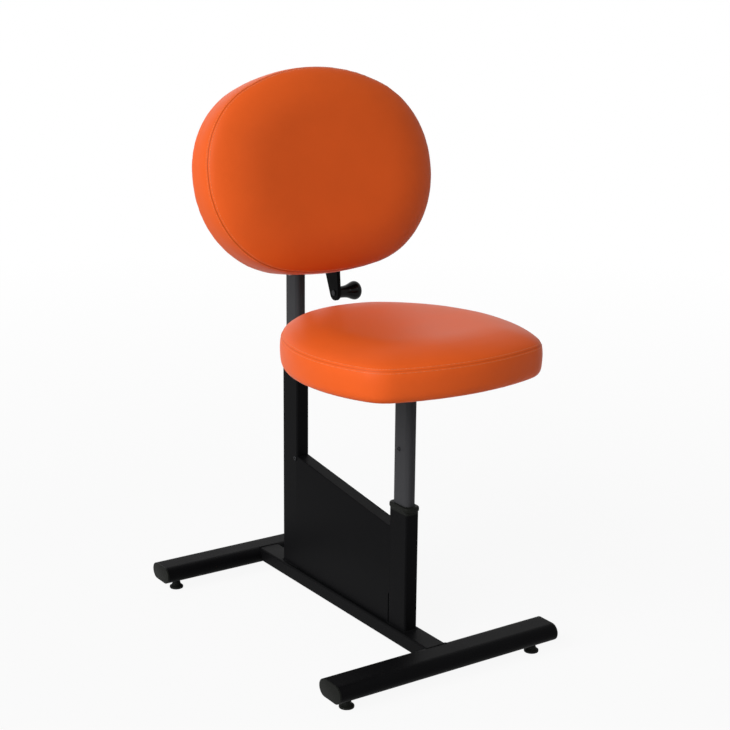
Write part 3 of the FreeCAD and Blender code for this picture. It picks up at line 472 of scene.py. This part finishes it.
def padded_cushion(name, node_name, normal, seam, shows, sizes):
    """A cushion swollen from a slightly smaller copy of its CAD solid, with its seam drawn in."""
    pad = cad_copy(node_name, name)
    along = np.array(normal)
    base = (points_of(pad) @ along).min()
    modify(pad, "REMESH", mode="VOXEL", voxel_size=sizes.cushion_mesh)
    height = points_of(pad) @ along - base
    free = ramp(height, sizes.held_edge, 2 * sizes.held_edge)
    set_points(pad, points_of(pad) - points_of(pad, "normal") * (free * sizes.start_inset)[:, None])
    swell(pad, free * sizes.swell_limit)
    soft = pad.vertex_groups.new(name="soft")
    soft.add(np.flatnonzero(height > sizes.held_edge).tolist(), 1.0, "REPLACE")
    modify(pad, "SMOOTH", factor=0.5, iterations=6, vertex_group=soft.name)
    pad.vertex_groups.clear()
    modify(pad, "SUBSURF", levels=1, render_levels=1)
    draw_in_seam(pad, along, base + seam, shows, sizes)
    return pad


def draw_in_seam(pad, along, level, shows, sizes):
    """Cuts edge loops along the seam, draws it into the cushion and marks it for the painted shade of its
    groove in the finish.
    """
    only(pad)
    bpy.ops.object.mode_set(mode="EDIT")
    for offset in SEAM_CUTS:
        bpy.ops.mesh.select_all(action="SELECT")
        bpy.ops.mesh.bisect(plane_co=along * (level + offset * MM), plane_no=along)
    bpy.ops.object.mode_set(mode="OBJECT")
    points = points_of(pad)
    nearness = shows * np.exp(-(((points @ along - level) / SEAM_WIDTH) ** 2))
    set_points(pad, points - points_of(pad, "normal") * (nearness * sizes.seam_depth)[:, None])
    # The mark carries the painted shade of the seam's groove, darkest at its middle.
    seam_shade_mark = pad.data.attributes.new("seam", "FLOAT", "POINT")
    seam_shade_mark.data.foreach_set("value", nearness.astype(np.float32))


class CHAIR_OT_cushions(bpy.types.Operator):
    """Makes the padded seat and backrest"""

    bl_idname = "chair.cushions"
    bl_label = "Padded cushions"

    def execute(self, context):
        sizes = context.scene.chair_sizes
        cushions = (("seat", SEAT_NORMAL, sizes.seat_seam, SEAT_SEAM_SHOWS),
                    ("back", BACK_NORMAL, sizes.back_seam, BACK_SEAM_SHOWS))
        for name, normal, seam, shows in cushions:
            pad = padded_cushion(name + "_pad", name + "_cushion", normal, seam, shows, sizes)
            finish_piece(pad, finishes["leatherette"], name + "_carriage", smooth_angle=60)
            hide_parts(name + "_cushion")
        return {"FINISHED"}


# Stitching


def cut_line(pad, along, level, name):
    """A closed curve where a plane across the cushion cuts its cover."""
    line = bpy.data.objects.new(name, pad.data.copy())
    bpy.context.scene.collection.objects.link(line)
    only(line)
    bpy.ops.object.mode_set(mode="EDIT")
    bpy.ops.mesh.select_all(action="SELECT")
    bpy.ops.mesh.bisect(plane_co=along * level, plane_no=along, clear_inner=True, clear_outer=True)
    bpy.ops.object.mode_set(mode="OBJECT")
    bpy.ops.object.convert(target="CURVE")
    return bpy.context.object


def select_faces(obj, test):
    """In edit mode, selects the faces that pass a test and no others."""
    mesh = bmesh.from_edit_mesh(obj.data)
    bpy.ops.mesh.select_all(action="DESELECT")
    for face in mesh.faces:
        face.select_set(test(face))
    mesh.select_flush_mode()
    bmesh.update_edit_mesh(obj.data)


def row_along(piece, line, pitch):
    """Repeats a piece along a curve, which is then removed."""
    modify(piece, "ARRAY", fit_type="FIT_CURVE", curve=line, use_relative_offset=False,
           use_constant_offset=True, constant_offset_displace=(pitch, 0, 0))
    modify(piece, "CURVE", object=line, deform_axis="POS_X")
    bpy.data.objects.remove(line)


def one_stitch(sizes):
    """A short length of thread along X with rounded ends."""
    bpy.ops.object.select_all(action="DESELECT")
    bpy.ops.mesh.primitive_cylinder_add(vertices=6, radius=sizes.thread / 2, depth=sizes.stitch_length,
                                        rotation=(0, math.pi / 2, 0))
    stitch = bpy.context.object
    bpy.ops.object.transform_apply(rotation=True)
    bpy.ops.object.mode_set(mode="EDIT")
    bpy.ops.mesh.select_mode(type="FACE")
    select_faces(stitch, lambda face: abs(face.normal.x) > 0.9)
    taper = sizes.thread * 0.2
    reach = sizes.thread * 0.25
    bpy.ops.mesh.inset(thickness=taper, depth=reach, use_individual=True)
    bpy.ops.object.mode_set(mode="OBJECT")
    return stitch


class CHAIR_OT_stitching(bpy.types.Operator):
    """Sews two rows of top-stitching along each cushion's seam"""

    bl_idname = "chair.stitching"
    bl_label = "Stitching"

    def execute(self, context):
        sizes = context.scene.chair_sizes
        cushions = (("seat", SEAT_NORMAL, sizes.seat_seam), ("back", BACK_NORMAL, sizes.back_seam))
        for name, normal, seam in cushions:
            pad = bpy.data.objects[name + "_pad"]
            along = np.array(normal)
            cover = points_of(frame["nodes"][name + "_cushion"])
            base = min(Vector(point) @ normal for point in cover)
            for side, offset in (("upper", sizes.stitch_gap), ("lower", -sizes.stitch_gap)):
                line = cut_line(pad, along, base + seam + offset, "sewing_line")
                row = one_stitch(sizes)
                row.name = f"{name}_stitches_{side}"
                row_along(row, line, sizes.stitch_pitch)
                finish_piece(row, finishes["thread"], name + "_carriage", smooth_angle=60)
        return {"FINISHED"}


# Levelling feet

# Radius and height pairs in millimetres, from the floor up.
FOOT_PAD_OUTLINE = ((11.4, 0.0), (12.2, 0.4), (12.5, 1.2), (12.5, 3.2), (12.1, 3.9), (11.0, 4.6),
                    (9.7, 5.7), (8.5, 7.2), (7.7, 9.0), (7.2, 11.0), (7.0, 13.9), (6.7, 14.7),
                    (6.0, 15.0), (4.3, 15.0))
STEM_START = (3.4, 13.0)
# One turn of the stem's thread, with heights above the turn's own bottom.
THREAD_TURN = ((3.45, 0.0), (4.0, 0.45), (4.0, 0.7), (3.45, 1.15))
THREAD_PITCH = 1.25
THREAD_BOTTOM = 14.0
THREAD_TURNS = 13


def stem_outline():
    """The stem's outline from inside the pad up, with its thread drawn as rings."""
    outline = [STEM_START]
    for turn in range(THREAD_TURNS):
        bottom = THREAD_BOTTOM + turn * THREAD_PITCH
        outline += [(radius, bottom + height) for radius, height in THREAD_TURN]
    return outline


def turned(name, outline, segments):
    """A piece turned about the vertical through the origin, from radius and height pairs."""
    bpy.ops.object.select_all(action="DESELECT")
    radius, height = outline[0]
    bpy.ops.mesh.primitive_circle_add(vertices=segments, radius=radius * MM, fill_type="NGON",
                                      location=(0, 0, height * MM))
    piece = bpy.context.object
    piece.name = name
    bpy.ops.object.transform_apply(location=True)
    bpy.ops.object.mode_set(mode="EDIT")
    bpy.ops.mesh.select_mode(type="FACE")
    bpy.ops.mesh.select_all(action="SELECT")
    for next_radius, next_height in outline[1:]:
        rise = (next_height - height) * MM
        bpy.ops.mesh.extrude_region_move(TRANSFORM_OT_translate={"value": (0, 0, rise)})
        share = next_radius / radius
        bpy.ops.transform.resize(value=(share, share, 1), center_override=(0, 0, next_height * MM))
        radius, height = next_radius, next_height
    bpy.ops.mesh.select_all(action="SELECT")
    bpy.ops.mesh.normals_make_consistent(inside=False)
    bpy.ops.object.mode_set(mode="OBJECT")
    return piece


def copy_to(piece, name, place):
    """A copy of a piece with its own mesh, moved to a place."""
    copy = bpy.data.objects.new(name, piece.data.copy())
    bpy.context.scene.collection.objects.link(copy)
    only(copy)
    copy.location = place
    bpy.ops.object.transform_apply(location=True)
    return copy


class CHAIR_OT_levelling_feet(bpy.types.Operator):
    """Makes the four levelling feet: a flared plastic pad on a threaded stem"""

    bl_idname = "chair.levelling_feet"
    bl_label = "Levelling feet"

    def execute(self, context):
        pad = turned("foot_pad", FOOT_PAD_OUTLINE, segments=48)
        stem = turned("foot_stem", stem_outline(), segments=24)
        for corner in ("front_right", "front_left", "rear_right", "rear_left"):
            node_name = "levelling_foot_" + corner
            low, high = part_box(node_name)
            place = ((low.x + high.x) / 2, (low.y + high.y) / 2, 0)
            foot = copy_to(pad, "foot_pad_" + corner, place)
            finish_piece(foot, finishes["black_plastic"], "foot_" + corner)
            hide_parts(node_name)
            post = copy_to(stem, "foot_stem_" + corner, place)
            finish_piece(post, finishes["bright_zinc"], "foot_" + corner)
        bpy.data.objects.remove(pad)
        bpy.data.objects.remove(stem)
        return {"FINISHED"}


# Softened edges

PANEL_WALL = 1.5 * MM
# The panel's side walls reach past the posts' rounded corners, inside the posts' own walls.
PANEL_REACH = 4 * MM
PANEL_STRETCH = 1.004  # widens the panel, so that its sides lie just over the posts' where they overlap
JOINT_FADE = 8 * MM  # height over which the open joint closes


def whole_faced_copy(node_name, name):
    """A copy of a CAD node whose flat faces are whole again instead of cut into triangles."""
    piece = cad_copy(node_name, name)
    bpy.ops.object.mode_set(mode="EDIT")
    bpy.ops.mesh.select_all(action="SELECT")
    bpy.ops.mesh.dissolve_limited(angle_limit=math.radians(1))
    bpy.ops.object.mode_set(mode="OBJECT")
    return piece


def softened(node_name, width):
    """A copy of a CAD node with its sharp edges rounded."""
    piece = whole_faced_copy(node_name, node_name + "_softened")
    modify(piece, "BEVEL", width=width * MM, segments=3, limit_method="ANGLE",
           angle_limit=math.radians(40), use_clamp_overlap=True)
    return piece


def select_edges(obj, test):
    """In edit mode, selects the edges that pass a test and no others."""
    mesh = bmesh.from_edit_mesh(obj.data)
    bpy.ops.mesh.select_mode(type="EDGE")
    bpy.ops.mesh.select_all(action="DESELECT")
    for edge in mesh.edges:
        edge.select_set(test(edge))
    bmesh.update_edit_mesh(obj.data)


def blended_panel(joint_top):
    """A copy of the boxed panel, ground flush with the posts but for an open joint low on the front."""
    low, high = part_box("boxed_panel")
    panel = whole_faced_copy("boxed_panel", "boxed_panel_blended")
    bpy.ops.object.mode_set(mode="EDIT")

    def is_long_top_edge(edge):
        start, end = (vertex.co for vertex in edge.verts)
        on_sides = min(abs(start.x), abs(end.x)) > high.x - 0.01 * MM
        upward_faces = sum(face.normal.z > 0.5 for face in edge.link_faces)
        return on_sides and upward_faces == 1 and abs(start.y - end.y) > 100 * MM

    select_edges(panel, is_long_top_edge)
    bpy.ops.mesh.bevel(offset=PANEL_WALL, segments=3, affect="EDGES")
    # Cuts just inside the side walls part them from the top plate, which stays where it is.
    inner = high.x - PANEL_WALL - 0.05 * MM
    cuts = (((0, 0, joint_top), (0, 0, 1)), ((0, 0, joint_top + JOINT_FADE), (0, 0, 1)),
            ((inner, 0, 0), (1, 0, 0)), ((-inner, 0, 0), (1, 0, 0)))
    for place, way in cuts:
        bpy.ops.mesh.select_all(action="SELECT")
        bpy.ops.mesh.bisect(plane_co=place, plane_no=way, threshold=0.001 * MM)

    def is_wall_end(edge, end, bottom):
        places = [vertex.co for vertex in edge.verts]
        in_wall = all(abs(place.x) > inner + 0.02 * MM for place in places)
        return in_wall and all(abs(place.y - end) < MM and place.z > bottom for place in places)

    for end, way, bottom in ((high.y, 1, low.z - MM), (low.y, -1, joint_top + JOINT_FADE / 2)):
        select_edges(panel, lambda edge: is_wall_end(edge, end, bottom))
        bpy.ops.transform.translate(value=(0, way * PANEL_REACH, 0))
    bpy.ops.mesh.select_all(action="SELECT")
    bpy.ops.transform.resize(value=(PANEL_STRETCH, 1, 1), center_override=(0, 0, 0))
    bpy.ops.object.mode_set(mode="OBJECT")
    return panel


class CHAIR_OT_softened_edges(bpy.types.Operator):
    """Rounds the sharp edges of the panel, plates and caps, so that they catch the light"""

    bl_idname = "chair.softened_edges"
    bl_label = "Softened edges"

    def execute(self, context):
        panel = blended_panel(context.scene.chair_sizes.open_joint)
        finish_piece(panel, finishes["powder_coat"], "frame")
        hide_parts("boxed_panel")
        # Node, width of its rounded edges in millimetres, and slot.
        edges = (("seat_plate", 0.8, "powder_coat"), ("back_bracket", 0.8, "powder_coat"),
                 ("foot_bar_end_caps", 0.9, "black_plastic"), ("back_rear_panel", 1.0, "black_plastic"))
        for node_name, width, slot in edges:
            piece = softened(node_name, width)
            finish_piece(piece, finishes[slot], frame["nodes"][node_name]["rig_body"])
            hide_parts(node_name)
        return {"FINISHED"}


# Welds

RIPPLE_PITCH = 0.4  # share of a bead's width from one ripple to the next
RIPPLE_FORM = (0.6, 1, 0.75)  # shares of a ball's size along the bead, across it and in height
RIPPLE_LEAN = 25  # degrees
RAIL_WELD_TURNS = (-40, -15, 10, 35, 60, 75)  # degrees round the side of a bar


def guide_line(points):
    """A curve of straight runs through points given in millimetres."""
    curve = bpy.data.curves.new("guide_line", "CURVE")
    curve.dimensions = "3D"
    run = curve.splines.new("POLY")
    run.points.add(len(points) - 1)
    for spot, point in zip(run.points, points):
        spot.co = (*(value * MM for value in point), 1)
    line = bpy.data.objects.new("guide_line", curve)
    bpy.context.scene.collection.objects.link(line)
    return line


def weld_ripple(sizes):
    """One ripple of a weld bead: a flattened drop, leaning along X."""
    bpy.ops.object.select_all(action="DESELECT")
    bpy.ops.mesh.primitive_uv_sphere_add(segments=8, ring_count=5, radius=sizes.weld / 2)
    ripple = bpy.context.object
    bpy.ops.object.mode_set(mode="EDIT")
    bpy.ops.mesh.select_all(action="SELECT")
    bpy.ops.transform.resize(value=RIPPLE_FORM, center_override=(0, 0, 0))
    bpy.ops.transform.rotate(value=math.radians(RIPPLE_LEAN), orient_axis="Y", center_override=(0, 0, 0))
    bpy.ops.object.mode_set(mode="OBJECT")
    return ripple


def box_in_mm(node_name):
    """The low and high corners of a CAD node, in millimetres."""
    return (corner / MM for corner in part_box(node_name))


def post_weld(end):
    """The line round three sides of a post's foot; the panel covers the fourth."""
    low, high = box_in_mm(end + "_outer_tube")
    inner, outer = (high.y, low.y) if end == "front" else (low.y, high.y)
    corners = ((low.x, inner), (low.x, outer), (high.x, outer), (high.x, inner))
    return [(*corner, low.z) for corner in corners]


def rail_weld(end):
    """The line round a rail's end; the bar's rounded side is half a circle, and the end follows it."""
    rail_low, rail_high = box_in_mm("base_rail")
    low, high = box_in_mm(end + "_foot_bar")
    way = 1 if end == "front" else -1
    radius = (high.z - low.z) / 2
    centre_y = (high.y if end == "front" else low.y) - way * radius
    centre_z = (high.z + low.z) / 2
    side = []
    for degrees in RAIL_WELD_TURNS:
        turn = math.radians(degrees)
        side.append((centre_y + way * radius * math.cos(turn), centre_z + radius * math.sin(turn)))
    return [(rail_low.x, *spot) for spot in side] + [(rail_high.x, *spot) for spot in reversed(side)]


class CHAIR_OT_welds(bpy.types.Operator):
    """Lays the weld beads where the rail meets the bars and the posts meet the rail"""

    bl_idname = "chair.welds"
    bl_label = "Welds"

    def execute(self, context):
        sizes = context.scene.chair_sizes
        for end in ("front", "rear"):
            for name, points in (("post_weld_", post_weld(end)), ("rail_weld_", rail_weld(end))):
                bead = weld_ripple(sizes)
                bead.name = name + end
                row_along(bead, guide_line(points), sizes.weld * RIPPLE_PITCH)
                finish_piece(bead, finishes["powder_coat"], "frame", smooth_angle=60)
        return {"FINISHED"}


# Screws and bolts

HEAD_ROUNDING = 0.7 * MM
SOCKET_DEPTH = 2 * MM


def cut_socket(screw, way, across):
    """Cuts a hexagon socket into the end of a screw that a direction points out of."""
    points = points_of(screw)
    middle = (points.max(axis=0) + points.min(axis=0)) / 2
    rise = (points @ np.array(way)).max() - middle @ np.array(way)
    turn = Vector(way).to_track_quat("Z", "Y").to_euler()
    bpy.ops.object.select_all(action="DESELECT")
    face = Vector(middle) + Vector(way) * rise
    bpy.ops.mesh.primitive_cylinder_add(vertices=6, radius=across * MM / math.sqrt(3),
                                        depth=2 * SOCKET_DEPTH, location=face, rotation=turn)
    cutter = bpy.context.object
    modify(screw, "BOOLEAN", operation="DIFFERENCE", object=cutter, solver="EXACT")
    bpy.data.objects.remove(cutter)


def socket_heads(node_name, ways, across):
    """A copy of a node of screws with rounded heads and sockets; ways point out of the heads."""
    whole_faced_copy(node_name, node_name + "_heads")
    bpy.ops.object.mode_set(mode="EDIT")
    bpy.ops.mesh.select_all(action="SELECT")
    bpy.ops.mesh.separate(type="LOOSE")
    bpy.ops.object.mode_set(mode="OBJECT")
    screws = list(bpy.context.selected_objects)
    for screw in screws:
        modify(screw, "BEVEL", width=HEAD_ROUNDING, segments=3, limit_method="ANGLE",
               angle_limit=math.radians(50))
        for way in ways:
            cut_socket(screw, way, across)
    only(screws[0])
    for screw in screws:
        screw.select_set(True)
    if len(screws) > 1:
        bpy.ops.object.join()
    screws[0].name = node_name + "_heads"
    return screws[0]


class CHAIR_OT_fasteners(bpy.types.Operator):
    """Gives the screws and bolts rounded heads with hexagon sockets"""

    bl_idname = "chair.fasteners"
    bl_label = "Fasteners"

    def execute(self, context):
        left = Vector((-1, 0, 0))
        # Node, directions out of its heads, and size across the sockets' flats in millimetres.
        heads = (("steady_screw", (left,), 3.0), ("seat_stop_screw", (left,), 3.0),
                 ("seat_bolts", (-SEAT_NORMAL,), 5.0), ("back_board_bolts", (-BACK_NORMAL,), 5.0),
                 ("back_bracket_bolts", (left, -left), 6.0))
        for node_name, ways, across in heads:
            piece = socket_heads(node_name, ways, across)
            body = frame["nodes"][node_name]["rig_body"]
            finish_piece(piece, finishes["black_fastener"], body)
            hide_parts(node_name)
        return {"FINISHED"}


# Studio

AMBIENT = 0.13  # strength of the light from all round, where 1 is white
WHITE = (1, 1, 1, 1)
FLOOR_RADIUS = 60  # metres, so that its edge is never seen
FLOOR_WHITENESS = 0.92  # share of plain white in the floor as it is seen; the rest keeps the shadow
FLOOR_FADE = (0.8, 3.5)  # metres from the chair between which the floor turns plain white
# Name, strength, spread in degrees and direction of each sun.
SUNS = (("soft_key", 3.55, 50, (0.84, 0.24, -0.46)), ("rear_fill", 0.3, 60, (-0.35, -0.85, -0.4)))
GLEAM_PLACE = (0.3, -2.1, 1.7)
GLEAM_WAY = (-0.07, 0.88, -0.45)
GLEAM_SIZE = 0.15  # metres
GLEAM_POWER = 2.0  # watts
CAMERA_PLACE = (-1.4518, -2.1644, 1.1593)
CAMERA_HEADING = -34.26  # degrees about the vertical
CAMERA_DIP = 14.822  # degrees below the horizon
CAMERA_ROLL = 0.574  # degrees about the line of sight
CAMERA_LENS = 78.47  # millimetres
CAMERA_SENSOR = 36  # millimetres


def background_rays(owner):
    """1 for the rays that see the background: from the camera, off gloss and through glass."""
    path = node(owner, "LightPath")
    gloss = node(owner, "Math", {0: path.outputs["Is Camera Ray"], 1: path.outputs["Is Glossy Ray"]},
                 operation="MAXIMUM")
    either = node(owner, "Math", {0: gloss.outputs[0], 1: path.outputs["Is Transmission Ray"]},
                  operation="MAXIMUM")
    return either.outputs[0]


def painted_floor(base):
    """A painted studio floor that keeps its shadow near the chair and fades into the white round it."""
    material = new_material("painted_floor")
    place = node(material, "TexCoord").outputs["Object"]
    cloud = node(material, "TexNoise", {"Vector": place, "Scale": 1.5, "Detail": 3.0})
    tone = node(material, "Mix", {0: cloud.outputs["Fac"], 6: shade(base, 0.99), 7: base}, data_type="RGBA")
    paint = node(material, "BsdfDiffuse", {"Color": tone.outputs[2]})
    glow = node(material, "Emission", {"Color": WHITE, "Strength": 1.0})
    distance = node(material, "VectorMath", {0: place}, operation="LENGTH").outputs["Value"]
    near, far = FLOOR_FADE
    fade = node(material, "MapRange", {"Value": distance, "From Min": near, "From Max": far,
                                       "To Min": FLOOR_WHITENESS, "To Max": 1.0})
    share = node(material, "Math", {0: background_rays(material), 1: fade.outputs[0]}, operation="MULTIPLY")
    seen = node(material, "MixShader", {0: share.outputs[0], 1: paint.outputs[0], 2: glow.outputs[0]})
    node(material, "OutputMaterial", {"Surface": seen.outputs[0]})
    return material


def lay_floor(colours):
    """Lays the studio floor under the chair."""
    bpy.ops.object.select_all(action="DESELECT")
    bpy.ops.mesh.primitive_circle_add(vertices=64, radius=FLOOR_RADIUS, fill_type="NGON")
    floor = bpy.context.object
    floor.name = "studio_floor"
    floor.data.materials.append(painted_floor(colours.floor))


def light_world():
    """A world that is seen as white and lights the chair faintly from all round."""
    world = bpy.data.worlds.new("studio")
    bpy.context.scene.world = world
    world.use_nodes = True
    world.node_tree.nodes.clear()
    strength = node(world, "MapRange", {"Value": background_rays(world), "To Min": AMBIENT, "To Max": 1.0})
    sky = node(world, "Background", {"Color": WHITE, "Strength": strength.outputs[0]})
    node(world, "OutputWorld", {"Surface": sky.outputs[0]})


def add_lamp(kind, name, power, way, place=(0, 0, 0)):
    """Adds a lamp that shines in a direction."""
    bpy.ops.object.light_add(type=kind, location=place)
    lamp = bpy.context.object
    lamp.name = name
    lamp.data.energy = power
    lamp.rotation_mode = "QUATERNION"
    lamp.rotation_quaternion = Vector(way).to_track_quat("-Z", "Y")
    return lamp


def hang_lamps():
    """Two wide suns for the even light, and one small lamp for the gleam on dark paint."""
    for name, power, spread, way in SUNS:
        sun = add_lamp("SUN", name, power, way)
        sun.data.angle = math.radians(spread)
    gleam = add_lamp("AREA", "front_gleam", GLEAM_POWER, GLEAM_WAY, GLEAM_PLACE)
    gleam.data.size = GLEAM_SIZE


def place_camera():
    """Sets the camera where the photograph was taken from."""
    bpy.ops.object.camera_add()
    camera = bpy.context.object
    camera.name = "photo_camera"
    camera.data.lens = CAMERA_LENS
    camera.data.sensor_width = CAMERA_SENSOR
    turn = Matrix.Rotation(math.radians(CAMERA_HEADING), 4, "Z")
    tip = Matrix.Rotation(math.radians(90 - CAMERA_DIP), 4, "X")
    roll = Matrix.Rotation(math.radians(CAMERA_ROLL), 4, "Z")
    camera.matrix_world = Matrix.Translation(CAMERA_PLACE) @ turn @ tip @ roll
    bpy.context.scene.camera = camera


class CHAIR_OT_studio(bpy.types.Operator):
    """Sets up the floor, the light and the camera"""

    bl_idname = "chair.studio"
    bl_label = "Studio"

    def execute(self, context):
        lay_floor(context.scene.chair_colours)
        light_world()
        hang_lamps()
        place_camera()
        context.scene.view_settings.view_transform = "Standard"
        return {"FINISHED"}


# Panel and registration

steps = (CHAIR_OT_finishes, CHAIR_OT_cushions, CHAIR_OT_stitching, CHAIR_OT_levelling_feet,
         CHAIR_OT_softened_edges, CHAIR_OT_welds, CHAIR_OT_fasteners, CHAIR_OT_studio)


class CHAIR_PT_look(bpy.types.Panel):
    """Lists the chair's settings and steps"""

    bl_idname = "CHAIR_PT_look"
    bl_label = "Client chair"
    bl_space_type = "VIEW_3D"
    bl_region_type = "UI"
    bl_category = "Chair"

    def draw(self, context):
        for settings in (context.scene.chair_sizes, context.scene.chair_colours):
            for field in settings.__annotations__:
                self.layout.prop(settings, field)
        for step in steps:
            self.layout.operator(step.bl_idname)


classes = (ChairSizes, ChairColours, *steps, CHAIR_PT_look)


def register():
    for cls in classes:
        bpy.utils.register_class(cls)
    bpy.types.Scene.chair_sizes = PointerProperty(type=ChairSizes)
    bpy.types.Scene.chair_colours = PointerProperty(type=ChairColours)


def unregister():
    del bpy.types.Scene.chair_colours
    del bpy.types.Scene.chair_sizes
    for cls in reversed(classes):
        bpy.utils.unregister_class(cls)


def main():
    register()
    bpy.ops.chair.finishes()
    bpy.ops.chair.cushions()
    bpy.ops.chair.stitching()
    bpy.ops.chair.levelling_feet()
    bpy.ops.chair.softened_edges()
    bpy.ops.chair.welds()
    bpy.ops.chair.fasteners()
    bpy.ops.chair.studio()


if __name__ == "__main__":
    main()
